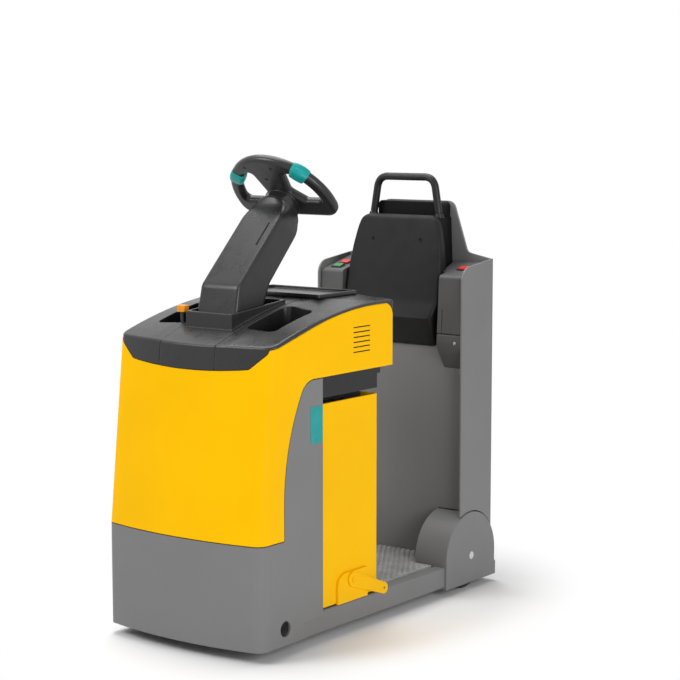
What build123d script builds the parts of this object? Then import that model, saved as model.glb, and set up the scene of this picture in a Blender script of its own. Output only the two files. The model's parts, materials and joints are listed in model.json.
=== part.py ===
"""Stand-on electric tow tractor with one steered drive wheel and two rear wheels.

Millimetres. Forward is -Y, the driver's left is +X, the ground is at Z = 0.
Places along the vehicle are counted back from the nose line, where the front corners start.
Places across it are counted from its middle plane and heights from the ground.
"""
import os
from math import cos, radians, sin, sqrt, tan

from build123d import *

os.makedirs("parts", exist_ok=True)

# Sheet, joints between panels and running clearances
overall_width = 600
half_width = overall_width / 2
sheet = 8
panel_gap = 3
seat_gap = 0.3
edge_round = 4
tolerance = 1
sides = ((1, "left"), (-1, "right"))

# Chain of lengths from the crown of the nose to the tip of the coupling
nose_bulge = 20
hood_length = 664
step_length = 444
rear_depth = 138
coupling_reach = 104
overall_length = nose_bulge + hood_length + step_length + rear_depth + coupling_reach
nose = nose_bulge - overall_length / 2
wall_front = hood_length + step_length
back_face = wall_front + rear_depth

# Rounded nose, skirt and side plates
nose_radius = 1300
corner_radius = 38
skirt_bottom = 36
skirt_top = 345
skirt_wall = 10
plate_front = 60
plate_length = 245
plate_back = plate_front + plate_length
notch_length = 94
notch_front = plate_back - notch_length
notch_height = 85
tie_down_radius = 23.5
tie_down_y = 125
tie_down_z = 86

# Hood
hood_bottom = skirt_top + panel_gap
hood_wall = 6
hood_rake = 6.2
hood_top = 1000
hood_lip = 120
lip_height = 450
lip_radius = 661
lip_fillet = 70
overhang_bottom = 806
crest_set = 74
crest_y = hood_length - crest_set
crest_radius = 1280
crest_slope = 15.4
hood_back_fillet = 40
hood_edge = 5
mouth_inset = 15
mouth_half = half_width - mouth_inset
mouth_step = 60
mouth_low = 835
mouth_shoulder = 848
mouth_top = 897
mouth_round = 26
mouth_depth = 130
louvre_count = 6
louvre_pitch = 15
louvre_length = 85
louvre_height = 3.6
louvre_set = 164
louvre_z = 901

# Console on the hood: crowned between its middle and its outer edges
console_inset = 1
fascia_wall = 12
console_front = 41
crown_half = half_width / 2
crown_front_z = 909
crown_mid_y = 220
crown_mid_z = 968
crown_flat_set = 194
crown_top = 1018
edge_front_z = 902
edge_mid_y = 250
edge_mid_z = 964
edge_flat_set = 80
edge_top = 1009
console_round = 9
seam = 106
seam_gap = 2
well_width = 110
well_length = 200
well_x = 173
well_y = 262
well_floor = 890
well_wall = 4
well_radius = 24
paddle_x = 131
paddle_front = 165
paddle_width = 30
paddle_depth = 24
paddle_height = 20
paddle_bottom = 984
paddle_round = 4
paddle_post = 14
collar_half = 88
collar_front = 141
collar_back = 396
collar_front_z = 992
collar_back_z = 1016
collar_wall = 6
collar_floor = 945
collar_radius = 16
tray_half = 170
tray_length = 198
tray_set = 8
tray_height = 12
tray_depth = 9
tray_rim = 7
tray_round = 2

# Steering column: sections from the collar's floor up to the round seat of the wheel
column_lean = 45
seat_y = 478
seat_z = 1282
seat_radius = 64
head_length = 44
column_width = 146
column_depth = 103
column_round = 18
bend_y = 268
bend_z = 1068
bend_width = 148
bend_depth = 152
foot_y = 225
foot_width = 156
foot_depth = 118
slot_x = 50
slot_set = 91
slot_length = 86
slot_width = 3
slot_depth = 5

# Steering wheel: a round rim with a flat bottom, a broad yoke and a hub
wheel_rise = 47
rim_outer = 187
rim_width = 39
rim_thickness = 31
rim_round = 13.5
rim_flat = 62
rim_corner = 46
opening_low = 2
opening_high_x = 60
opening_high = 124
opening_spoke_x = 44
opening_spoke = 42
opening_turn = 53
opening_round = 14
hub_radius = 62
hub_top_radius = 50
grip_angle = 39
grip_sweep = 20
grip_wall = 5
grip_round = 17

# Battery, its compartment and the latches
cover_inset = 16
cover_thickness = 8
cover_top = 722
cover_set = 59
cover_return = 60
cover_lap = 20
battery_gap = 8
battery_set = 15
battery_bottom = 103
battery_top = 690
control_box_lap = 43
control_box_height = 64
latch_thickness = 6
latch_length = 153
latch_set = 62
latch_drop = 4
latch_height = 92
latch_radius = 40
latch_corner = 8
arm_pivot_set = 143
arm_pivot_z = 166
arm_pivot_radius = 23
arm_tip_reach = 19
arm_tip_z = 106
arm_tip_radius = 18
arm_hole_radius = 5
cover_face = half_width - cover_inset
cover_back = hood_length - cover_set
cover_front = plate_back - cover_lap
battery_front = plate_back + battery_gap
battery_back = cover_back - battery_set
battery_half = cover_face - 2 * battery_gap

# Floor
sill_face = half_width - sheet
sill_width = 46
sill_bottom = 31
sill_top = 98
sill_round = 7
floor_bottom = 70
floor_top = 92
mat_thickness = 10
floor_half = sill_face - sill_width

# Rear wheels and arches
wheel_radius = 115
tyre_width = 70
tyre_depth = 30
tyre_round = 8
hub_width = 50
hub_dish = 12
hub_rim = 14
hub_boss_radius = 32
hub_boss_width = 80
axle_radius = 12.5
axle_set = 125
rear_axle_y = back_face - axle_set
arch_radius = 147
arch_wall = 5
arch_bottom = 24
arch_depth = 125
arch_step = 4
arch_step_top = 69
arch_inner = half_width - arch_depth
arch_front = rear_axle_y - arch_radius
wheel_inset = 60
wheel_x = half_width - wheel_inset

# Rear pillars, back wall and rear panel
pillar_plate = 6
pillar_inset = 10
pillar_width = 93
pillar_outer = half_width - pillar_inset
pillar_inner = pillar_outer - pillar_width
pillar_front_set = 50
pillar_top_set = 36
pillar_front_z = 1048
pillar_back_z = 1086
pillar_round = 12
pillar_joint_z = 857
pillar_joint = 3
pillar_joint_depth = 8
pillar_slot_inset = 17
pillar_slot_length = 79
pillar_foot_z = 812
scoop_z = 740
scoop_round = 60
pillar_front_low = wall_front - pillar_front_set
pillar_front_top = wall_front - pillar_top_set
plate_rise = 12
plate_round = 48
back_sheet = 8
back_bottom = 60
wall_top = 1010
hump_half_top = 142
hump_top = 1286
hump_half_low = 199
hump_low = 1116
hump_round = 32
hump_foot_round = 22
shoulder_z = 1098
switch_width = 34
switch_length = 26
switch_height = 7
switch_radius = 3
panel_back = back_face - back_sheet
arch_top = wheel_radius + arch_radius + panel_gap

# Backrest: block and pad between the same slanting sides, and the grab handle
pad_bottom = 816
pad_low_set = 38
pad_mid_set = 28
pad_top_lean = 10
pad_top = 1232
pad_depth = 32
pad_half_top = half_width - 154
pad_half_mid = half_width - 112
pad_round = 12
block_half_top = pad_half_top - 12
block_half_mid = pad_half_mid - 44
bolster_half = block_half_top - 4
bolster_top = 1284
bolster_depth = 54
bolster_round = 16
handle_set = 57
handle_radius = 10.5
handle_top = 1365
handle_half_low = block_half_top
handle_half_top = handle_half_low - 22
handle_fillet = 36
handle_foot_radius = 17
handle_foot_height = 14
handle_foot_taper = 12
pad_back = wall_front + pad_depth

# Drive unit
drive_y = 165
bridge_bottom = 296
bridge_thickness = 16
bridge_bore = 66
bridge_reach = 105
neck_radius = 61
turntable_radius = 90
turntable_thickness = 15
motor_radius = 75
motor_height = 200
motor_round = 15
gearbox_inner = 46
gearbox_width = 52
gearbox_half = 52
gearbox_round = 6
drive_shaft_radius = 20
drive_tyre_width = 75

# Tow coupling
jaw_half = 55
jaw_height = 110
jaw_mid_z = 290
jaw_gap = 50
jaw_plate = 20
jaw_round = 40
jaw_foot = 150
pin_radius = 11
pin_reach = 30
knob_radius = 19
knob_height = 14


def side_view(x):
    """Plane of a side view: places along the vehicle across, heights up."""
    return Plane(origin=(x, nose, 0), x_dir=(0, 1, 0), z_dir=(1, 0, 0))


def plan_view(z):
    """Plane of a plan: places across the vehicle, then places along it."""
    return Plane(origin=(0, nose, z), x_dir=(1, 0, 0), z_dir=(0, 0, 1))


def cross_view(y):
    """Plane of a cross-section that faces forward: places across, heights up."""
    return Plane(origin=(0, nose + y, 0), x_dir=(1, 0, 0), z_dir=(0, -1, 0))


def export(piece, label):
    """Names one finished sub-part and writes it."""
    piece.part.label = label
    export_step(piece.part, f"parts/{label}.step")


def rim_edges(faces):
    """Edges round a patch of faces, without the ones inside it."""
    every = [edge for face in faces for edge in face.edges()]
    return ShapeList(edge for edge in every if sum(edge.is_same(other) for other in every) == 1)


def nose_plan(inset, back):
    """Plan of the rounded nose, inset from the outer skin and cut off square at back."""
    front = inset - nose_bulge
    with BuildSketch() as plan:
        with Locations((0, front)):
            Rectangle(overall_width - 2 * inset, back - front, align=(Align.CENTER, Align.MIN))
        with Locations((0, front + nose_radius - inset)):
            Circle(nose_radius - inset, mode=Mode.INTERSECT)
        fillet(plan.vertices().group_by(Axis.Y)[0], corner_radius - inset)
    return plan.sketch


def hood_side():
    """Side view of the hood: swept lip, overhang, rounded back and sloping top."""
    front = -nose_bulge - corner_radius
    corner_y = hood_lip + lip_radius - sqrt(lip_radius**2 - (overhang_bottom - lip_height) ** 2)
    mid_z = (lip_height + overhang_bottom) / 2
    mid_y = hood_lip + lip_radius - sqrt(lip_radius**2 - (mid_z - lip_height) ** 2)
    with BuildSketch() as side:
        with BuildLine():
            Polyline((front, hood_bottom), (hood_lip, hood_bottom), (hood_lip, lip_height))
            ThreePointArc((hood_lip, lip_height), (mid_y, mid_z), (corner_y, overhang_bottom))
            Polyline(
                (corner_y, overhang_bottom),
                (hood_length, overhang_bottom),
                (hood_length, hood_top),
                (crest_y, hood_top),
            )
            crest = JernArc((crest_y, hood_top), (-1, 0), crest_radius, crest_slope)
            foot = crest @ 1
            nose_top = (front, foot.Y - (foot.X - front) * tan(radians(crest_slope)))
            Polyline((foot.X, foot.Y), nose_top, (front, hood_bottom))
        make_face()
        lip_corner = side.vertices().sort_by_distance((corner_y, overhang_bottom))[0]
        fillet(lip_corner, lip_fillet)
        back_corner = side.vertices().sort_by_distance((hood_length, hood_top))[0]
        fillet(back_corner, hood_back_fillet)
    return side.sketch


def mouth_view(gap):
    """Front view of the opening for the fascia, smaller all round by the gap."""
    half = mouth_half - gap
    low_half = half - mouth_step
    with BuildSketch() as view:
        with BuildLine():
            ThreePointArc(
                (-low_half, mouth_shoulder + gap), (0, mouth_low + gap), (low_half, mouth_shoulder + gap)
            )
            Polyline(
                (low_half, mouth_shoulder + gap),
                (half, mouth_top + gap),
                (half, hood_top),
                (-half, hood_top),
                (-half, mouth_top + gap),
                (-low_half, mouth_shoulder + gap),
            )
        make_face()
        corners = view.vertices().group_by(Axis.Y)
        fillet(corners[0] + corners[1], mouth_round)
    return view.sketch


def console_side(front_z, mid_y, mid_z, flat_y, top):
    """Side view of the console's upper skin at one place across, down to the fascia's low edge."""
    front = -nose_bulge - corner_radius
    mid = (mid_y, mid_z)
    with BuildSketch() as side:
        with BuildLine():
            Polyline((front, mouth_low), (front, front_z), (console_front, front_z))
            ThreePointArc((console_front, front_z), mid, (flat_y, top))
            Polyline((flat_y, top), (hood_length, top), (hood_length, mouth_low), (front, mouth_low))
        make_face()
    return side.sketch


def column_section(plane, width, depth, radius):
    """One rounded section of the steering column on its plane."""
    with BuildSketch(plane) as section:
        RectangleRounded(width, depth, radius)
    return section.sketch


rake_dir = (0, sin(radians(hood_rake)), cos(radians(hood_rake)))
rake_length = (crown_top + corner_radius - hood_bottom) / cos(radians(hood_rake))
mouth_reach = mouth_depth + nose_bulge + corner_radius
hood_profile = hood_side()

# Front skirt, bent round the nose
with BuildPart() as front_skirt:
    with BuildSketch(plan_view(skirt_bottom)):
        add(nose_plan(0, plate_front))
        add(nose_plan(skirt_wall, plate_front + skirt_wall), mode=Mode.SUBTRACT)
    extrude(amount=skirt_top - skirt_bottom)
export(front_skirt, "front_skirt")

# Flat side plates, shaped to the hood's lip, with the tie-down hole
for side, label in sides:
    with BuildPart() as side_plate:
        with BuildSketch(side_view(side * half_width)):
            with Locations((plate_front, skirt_bottom)):
                Rectangle(
                    plate_length,
                    overhang_bottom - panel_gap - skirt_bottom,
                    align=(Align.MIN, Align.MIN),
                )
            offset(hood_profile, amount=panel_gap, mode=Mode.SUBTRACT)
            with Locations((notch_front, skirt_bottom)):
                Rectangle(
                    notch_length,
                    notch_height - skirt_bottom,
                    align=(Align.MIN, Align.MIN),
                    mode=Mode.SUBTRACT,
                )
            with Locations((tie_down_y, tie_down_z)):
                Circle(tie_down_radius, mode=Mode.SUBTRACT)
        extrude(amount=-side * sheet)
    export(side_plate, f"side_plate_{label}")

# Hood shell with its mouth and louvres
with BuildPart() as hood:
    with BuildSketch(plan_view(hood_bottom)):
        add(nose_plan(0, hood_length))
        add(nose_plan(hood_wall, hood_length + hood_wall), mode=Mode.SUBTRACT)
    extrude(amount=rake_length, dir=rake_dir)
    with BuildSketch(plan_view(overhang_bottom)):
        with Locations((0, hood_length)):
            Rectangle(overall_width, hood_wall, align=(Align.CENTER, Align.MAX))
    extrude(amount=hood_top - overhang_bottom)
    with BuildSketch(side_view(0)):
        add(hood_profile)
    extrude(amount=half_width, both=True, mode=Mode.INTERSECT)
    back_edges = hood.edges().filter_by(Axis.Z).group_by(Axis.Y)[-1]
    fillet([edge for edge in back_edges if abs(edge.center().X) > half_width - tolerance], hood_edge)
    with BuildSketch(cross_view(mouth_depth)):
        add(mouth_view(0))
    extrude(amount=mouth_reach, mode=Mode.SUBTRACT)
    with BuildSketch(side_view(0)):
        with Locations((hood_length - louvre_set, louvre_z)):
            with GridLocations(louvre_pitch, louvre_pitch, 1, louvre_count):
                SlotOverall(louvre_length, louvre_height)
    extrude(amount=half_width, both=True, mode=Mode.SUBTRACT)
export(hood, "hood")

# Console moulding: crowned slab on the hood, fascia in its mouth, wells and the collar round the column
crown = console_side(crown_front_z, crown_mid_y, crown_mid_z, hood_length - crown_flat_set, crown_top)
shoulder = console_side(edge_front_z, edge_mid_y, edge_mid_z, hood_length - edge_flat_set, edge_top)
with BuildPart() as console_block:
    with BuildSketch(side_view(0)):
        add(crown)
    extrude(amount=crown_half, both=True)
    with BuildSketch(side_view(crown_half)):
        add(crown)
    with BuildSketch(side_view(half_width)):
        add(shoulder)
    loft(ruled=True)
    with BuildSketch(side_view(-crown_half)):
        add(crown)
    with BuildSketch(side_view(-half_width)):
        add(shoulder)
    loft(ruled=True)
with BuildPart() as console_solid:
    with BuildSketch(plan_view(hood_bottom)):
        add(nose_plan(console_inset, hood_length))
    extrude(amount=rake_length, dir=rake_dir)
    split(bisect_by=cross_view(hood_length), keep=Keep.TOP)
    add(console_block.part, mode=Mode.INTERSECT)
    upper = console_solid.faces().filter_by(lambda face: face.normal_at(face.center()).Z > 0.5)
    fillet(rim_edges(upper), console_round)
with BuildPart() as fascia:
    add(console_solid.part)
    with BuildSketch(plan_view(hood_bottom)):
        add(nose_plan(fascia_wall, hood_length))
    extrude(amount=rake_length, dir=rake_dir, mode=Mode.SUBTRACT)
    with BuildSketch(cross_view(mouth_depth)):
        add(mouth_view(console_inset))
    extrude(amount=mouth_reach, mode=Mode.INTERSECT)
with BuildPart() as well_boxes:
    for side, label in sides:
        with BuildSketch(plan_view(well_floor - well_wall)):
            with Locations((side * well_x, well_y)):
                RectangleRounded(
                    well_width + 2 * well_wall, well_length + 2 * well_wall, well_radius + well_wall
                )
        extrude(amount=crown_top - well_floor)
    add(console_solid.part, mode=Mode.INTERSECT)
with BuildPart() as console_whole:
    add(console_solid.part)
    with BuildSketch(side_view(0)):
        add(hood_profile)
    extrude(amount=half_width, both=True, mode=Mode.SUBTRACT)
    add(fascia.part)
    add(well_boxes.part)
    with BuildSketch(side_view(0)):
        Polygon(
            (collar_front, collar_floor - collar_wall),
            (collar_back, collar_floor - collar_wall),
            (collar_back, collar_back_z),
            (collar_front, collar_front_z),
            align=None,
        )
    collar_block = extrude(amount=collar_half, both=True)
    for side, label in sides:
        with BuildSketch(plan_view(well_floor)):
            with Locations((side * well_x, well_y)):
                RectangleRounded(well_width, well_length, well_radius)
        extrude(amount=crown_top - well_floor, mode=Mode.SUBTRACT)
    with BuildSketch(plan_view(collar_floor)):
        with Locations((0, (collar_front + collar_back) / 2)):
            RectangleRounded(
                2 * (collar_half - collar_wall), collar_back - collar_front - 2 * collar_wall, collar_radius
            )
    extrude(amount=crown_top - collar_floor, mode=Mode.SUBTRACT)
    with BuildSketch(plan_view(well_floor)):
        with Locations((-paddle_x, paddle_front + paddle_depth / 2)):
            RectangleRounded(paddle_post, paddle_post, paddle_round)
    extrude(amount=paddle_bottom - well_floor)

console_pieces = (
    # label, x from, x to
    ("console_left", seam + seam_gap / 2, half_width),
    ("console_centre", -seam + seam_gap / 2, seam - seam_gap / 2),
    ("console_right", -half_width, -seam - seam_gap / 2),
)
for label, x_from, x_to in console_pieces:
    with BuildPart() as console_piece:
        add(console_whole.part)
        with Locations(((x_from + x_to) / 2, 0, crown_top)):
            Box(x_to - x_from, 2 * overall_length, crown_top, mode=Mode.INTERSECT)
    export(console_piece, label)

# Shallow document tray at the back of the console
tray_mid = hood_length - tray_set - tray_length / 2
with BuildPart() as console_tray:
    with BuildSketch(plan_view(crown_top)):
        with Locations((0, tray_mid)):
            RectangleRounded(2 * tray_half, tray_length, tray_rim)
    extrude(amount=tray_height)
    with BuildSketch(plan_view(crown_top + tray_height)):
        with Locations((0, tray_mid)):
            Rectangle(2 * (tray_half - tray_rim), tray_length - 2 * tray_rim)
    extrude(amount=-tray_depth, mode=Mode.SUBTRACT)
    fillet(console_tray.faces().sort_by(Axis.Z)[-1].outer_wire().edges(), tray_round)
export(console_tray, "console_tray")

# Emergency stop cap on its post in the right-hand well
with BuildPart() as stop_paddle:
    with BuildSketch(plan_view(paddle_bottom)):
        with Locations((-paddle_x, paddle_front + paddle_depth / 2)):
            RectangleRounded(paddle_width, paddle_depth, paddle_round)
    extrude(amount=paddle_height)
    fillet(stop_paddle.edges().group_by(Axis.Z)[-1], paddle_round / 2)
export(stop_paddle, "stop_paddle")

# Steering column, upright in the collar, then leaning back and growing into the round seat
lean = radians(column_lean)
wheel_axis = Vector(0, sin(lean), cos(lean))
seat = Plane(origin=(0, nose + seat_y, seat_z), x_dir=(-1, 0, 0), z_dir=wheel_axis)
upright = Plane(origin=seat.origin, x_dir=(1, 0, 0), z_dir=wheel_axis)
column_sections = [
    # plane, width, depth, corner radius
    (Plane(origin=(0, nose + foot_y, collar_floor)), foot_width, foot_depth, column_round),
    (Plane(origin=(0, nose + bend_y, bend_z)), bend_width, bend_depth, column_round),
    (upright.offset(-head_length), column_width, column_depth, column_round),
    (upright, 2 * seat_radius, 2 * seat_radius, seat_radius - tolerance),
]
with BuildPart() as steering_column:
    loft([column_section(*row) for row in column_sections], ruled=True)
    with BuildSketch(upright.offset(-slot_set)):
        with Locations((slot_x, -column_depth / 2)):
            Rectangle(slot_width, 2 * slot_depth)
    extrude(amount=-slot_length, mode=Mode.SUBTRACT)
export(steering_column, "steering_column")

# Steering wheel: rim, yoke and lower web in one moulding, with a hub on the column's seat
wheel_plane = seat.offset(wheel_rise)
rim_inner = rim_outer - rim_width
rim_middle = rim_outer - rim_width / 2
turn_end = radians(opening_turn)
with BuildPart() as steering_wheel:
    with BuildSketch(wheel_plane.offset(-rim_thickness / 2)) as outline:
        Circle(rim_outer)
        with Locations((0, -rim_flat)):
            Rectangle(2 * rim_outer, rim_outer, align=(Align.CENTER, Align.MAX), mode=Mode.SUBTRACT)
        fillet(outline.vertices(), rim_corner)
    extrude(amount=rim_thickness)
    with BuildSketch(wheel_plane.offset(-rim_thickness / 2)):
        with BuildLine():
            start = (sqrt(rim_inner**2 - opening_low**2), opening_low)
            end = (rim_inner * cos(turn_end), rim_inner * sin(turn_end))
            middle = (rim_inner * cos(turn_end / 2), rim_inner * sin(turn_end / 2))
            ThreePointArc(start, middle, end)
            Polyline(
                end,
                (opening_high_x, opening_high),
                (opening_spoke_x, opening_spoke),
                (opening_spoke_x + opening_spoke, opening_low),
                start,
            )
        face = make_face()
        fillet(face.vertices(), opening_round)
        mirror(about=Plane.YZ)
    extrude(amount=rim_thickness, mode=Mode.SUBTRACT)
    flats = steering_wheel.faces().filter_by(GeomType.PLANE).filter_by(
        lambda face: abs(face.normal_at().dot(wheel_axis)) > 0.99
    )
    fillet(flats.edges(), rim_round)
    with BuildSketch(seat.offset(seat_gap)):
        Circle(hub_radius)
    with BuildSketch(wheel_plane):
        Circle(hub_top_radius)
    loft()
export(steering_wheel, "steering_wheel")

# Grip sleeves round the rim
with BuildPart() as steering_grips:
    for angle in (grip_angle, 180 - grip_angle):
        turn = radians(angle - grip_sweep / 2)
        outward = wheel_plane.x_dir * cos(turn) + wheel_plane.y_dir * sin(turn)
        section_plane = Plane(
            origin=wheel_plane.origin, x_dir=outward, z_dir=outward.cross(wheel_axis)
        )
        with BuildSketch(section_plane):
            with Locations((rim_middle, 0)):
                RectangleRounded(rim_width + 2 * grip_wall, rim_thickness + 2 * grip_wall, grip_round)
                RectangleRounded(
                    rim_width + 2 * seat_gap,
                    rim_thickness + 2 * seat_gap,
                    rim_round + seat_gap,
                    mode=Mode.SUBTRACT,
                )
        revolve(axis=Axis(wheel_plane.origin, wheel_axis), revolution_arc=grip_sweep)
export(steering_grips, "steering_grips")

# Battery block and the control box above it
with BuildPart() as battery:
    with BuildSketch(plan_view(battery_bottom)):
        with Locations((0, battery_front)):
            Rectangle(2 * battery_half, battery_back - battery_front, align=(Align.CENTER, Align.MIN))
    extrude(amount=battery_top - battery_bottom)
export(battery, "battery")

control_front = plate_back - control_box_lap
with BuildPart() as control_box:
    with BuildSketch(plan_view(overhang_bottom)):
        with Locations((0, control_front)):
            Rectangle(2 * sill_face, battery_back - control_front, align=(Align.CENTER, Align.MIN))
    extrude(amount=-control_box_height)
    with BuildSketch(plan_view(overhang_bottom)):
        with Locations((0, control_front)):
            Rectangle(
                2 * (half_width - hood_wall), battery_back - control_front, align=(Align.CENTER, Align.MIN)
            )
    extrude(amount=hood_wall)
export(control_box, "control_box")

# Battery covers with a folded back edge
with BuildPart() as battery_covers:
    for side, label in sides:
        with BuildSketch(plan_view(battery_bottom)):
            with BuildLine():
                FilletPolyline(
                    (side * cover_face, cover_front),
                    (side * cover_face, cover_back),
                    (side * (cover_face - cover_return), cover_back),
                    radius=cover_thickness,
                )
                offset(amount=cover_thickness, side=Side.RIGHT if side < 0 else Side.LEFT)
            make_face()
        extrude(amount=cover_top - battery_bottom)
export(battery_covers, "battery_covers")

# Latch plates on the covers and their pivoting arms
latch_back = cover_back - latch_set
latch_front = latch_back - latch_length
latch_bottom = battery_bottom - latch_drop
with BuildPart() as latch_plates:
    for side, label in sides:
        with BuildSketch(side_view(side * cover_face)) as outline:
            with Locations((latch_front, latch_bottom)):
                Rectangle(latch_length, latch_height, align=(Align.MIN, Align.MIN))
            upper = outline.vertices().group_by(Axis.Y)[-1].sort_by(Axis.X)
            fillet(upper[0], latch_radius)
            fillet(outline.vertices().group_by(Axis.Y)[-1].sort_by(Axis.X)[-1], latch_corner)
        extrude(amount=side * (sill_face - cover_face))
export(latch_plates, "latch_plates")

arm_ends = (
    # y, z, radius
    (cover_back - arm_pivot_set, arm_pivot_z, arm_pivot_radius),
    (cover_back + arm_tip_reach, arm_tip_z, arm_tip_radius),
)
with BuildPart() as latch_arms:
    for side, label in sides:
        with BuildSketch(side_view(side * sill_face)):
            for y, z, radius in arm_ends:
                with Locations((y, z)):
                    Circle(radius)
            make_hull()
            with Locations((cover_back + arm_tip_reach, arm_tip_z)):
                Circle(arm_hole_radius, mode=Mode.SUBTRACT)
        extrude(amount=side * latch_thickness)
export(latch_arms, "latch_arms")

# Sills along the step and the floor between them
with BuildPart() as sills:
    for side, label in sides:
        with BuildSketch(cross_view(notch_front)):
            with Locations((side * (sill_face - sill_width / 2), (sill_bottom + sill_top) / 2)):
                RectangleRounded(sill_width, sill_top - sill_bottom, sill_round)
        extrude(amount=-(arch_front - notch_front))
export(sills, "sills")

with BuildPart() as battery_tray:
    with BuildSketch(plan_view(floor_bottom)):
        with Locations((0, plate_back)):
            Rectangle(2 * floor_half, cover_back - plate_back, align=(Align.CENTER, Align.MIN))
    extrude(amount=battery_bottom - floor_bottom)
export(battery_tray, "battery_tray")

with BuildPart() as bulkhead:
    with BuildSketch(plan_view(battery_bottom)):
        with Locations((0, cover_back)):
            Rectangle(2 * (cover_face - cover_return), cover_thickness, align=(Align.CENTER, Align.MAX))
    extrude(amount=cover_top - battery_bottom)
export(bulkhead, "bulkhead")

with BuildPart() as floor_plate:
    with BuildSketch(plan_view(floor_bottom)) as floor_outline:
        with Locations((0, cover_back)):
            Rectangle(2 * floor_half, wall_front - cover_back, align=(Align.CENTER, Align.MIN))
        for side, label in sides:
            with Locations((side * half_width, arch_front - panel_gap)):
                Rectangle(
                    2 * (arch_depth + panel_gap),
                    2 * arch_radius,
                    align=(Align.CENTER, Align.MIN),
                    mode=Mode.SUBTRACT,
                )
    extrude(amount=floor_top - floor_bottom)
export(floor_plate, "floor_plate")

with BuildPart() as floor_mat:
    with BuildSketch(plan_view(floor_top)):
        offset(floor_outline.sketch_local, amount=-panel_gap)
    extrude(amount=mat_thickness)
export(floor_mat, "floor_mat")

# Wheel arches with their stub axles
for side, label in sides:
    with BuildPart() as wheel_arch:
        with BuildSketch(side_view(side * half_width)):
            with Locations((rear_axle_y, wheel_radius)):
                Circle(arch_radius)
            with Locations((rear_axle_y, arch_bottom)):
                Rectangle(
                    2 * arch_radius, wheel_radius - arch_bottom, align=(Align.CENTER, Align.MIN)
                )
            with Locations((rear_axle_y, arch_bottom)):
                Rectangle(
                    arch_radius + arch_step, arch_step_top - arch_bottom, align=(Align.MIN, Align.MIN)
                )
            with Locations((rear_axle_y, arch_bottom)):
                Rectangle(
                    4 * arch_radius, 2 * arch_radius, align=(Align.CENTER, Align.MAX), mode=Mode.SUBTRACT
                )
        extrude(amount=-side * arch_depth)
        outer = wheel_arch.faces().sort_by(Axis.X)[-1 if side > 0 else 0]
        fillet(outer.edges().filter_by(GeomType.CIRCLE), edge_round)
        with BuildSketch(side_view(side * sill_face)):
            with Locations((rear_axle_y, wheel_radius)):
                Circle(arch_radius - arch_wall)
            with Locations((rear_axle_y, arch_bottom)):
                Rectangle(
                    2 * (arch_radius - arch_wall),
                    wheel_radius - arch_bottom,
                    align=(Align.CENTER, Align.MIN),
                )
            with Locations((rear_axle_y, arch_bottom)):
                Rectangle(
                    4 * arch_radius, 2 * arch_radius, align=(Align.CENTER, Align.MAX), mode=Mode.SUBTRACT
                )
        extrude(amount=-side * (arch_depth - sheet - arch_wall), mode=Mode.SUBTRACT)
        with BuildSketch(side_view(side * half_width)):
            with Locations((rear_axle_y, wheel_radius)):
                Circle(axle_radius)
        extrude(amount=-side * half_width, mode=Mode.SUBTRACT)
    export(wheel_arch, f"wheel_arch_{label}")

with BuildPart() as stub_axles:
    for side, label in sides:
        with BuildSketch(side_view(side * half_width)):
            with Locations((rear_axle_y, wheel_radius)):
                Circle(axle_radius)
        extrude(amount=-side * arch_depth)
export(stub_axles, "stub_axles")

# Rear wheels, turned about the axle: tyre, then hub with a dish between boss and rim
tyre_inner = wheel_radius - tyre_depth
for side, label in sides:
    axle = Plane(
        origin=(side * wheel_x, nose + rear_axle_y, wheel_radius), x_dir=(1, 0, 0), z_dir=(0, -1, 0)
    )
    spin = Axis(axle.origin, (1, 0, 0))
    with BuildPart() as rear_tyre:
        with BuildSketch(axle) as section:
            with Locations((0, tyre_inner)):
                Rectangle(tyre_width, tyre_depth, align=(Align.CENTER, Align.MIN))
            fillet(section.vertices().group_by(Axis.Y)[-1], tyre_round)
        revolve(axis=spin)
    export(rear_tyre, f"rear_tyre_{label}")
    with BuildPart() as rear_hub:
        with BuildSketch(axle):
            Rectangle(hub_width, tyre_inner, align=(Align.CENTER, Align.MIN))
            for x in (-hub_width / 2, hub_width / 2):
                with Locations((x, hub_boss_radius)):
                    Rectangle(
                        2 * hub_dish,
                        tyre_inner - hub_rim - hub_boss_radius,
                        align=(Align.CENTER, Align.MIN),
                        mode=Mode.SUBTRACT,
                    )
            Rectangle(hub_boss_width, hub_boss_radius, align=(Align.CENTER, Align.MIN))
            Rectangle(
                hub_boss_width, axle_radius + seat_gap, align=(Align.CENTER, Align.MIN), mode=Mode.SUBTRACT
            )
        revolve(axis=spin)
    export(rear_hub, f"rear_hub_{label}")

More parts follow.
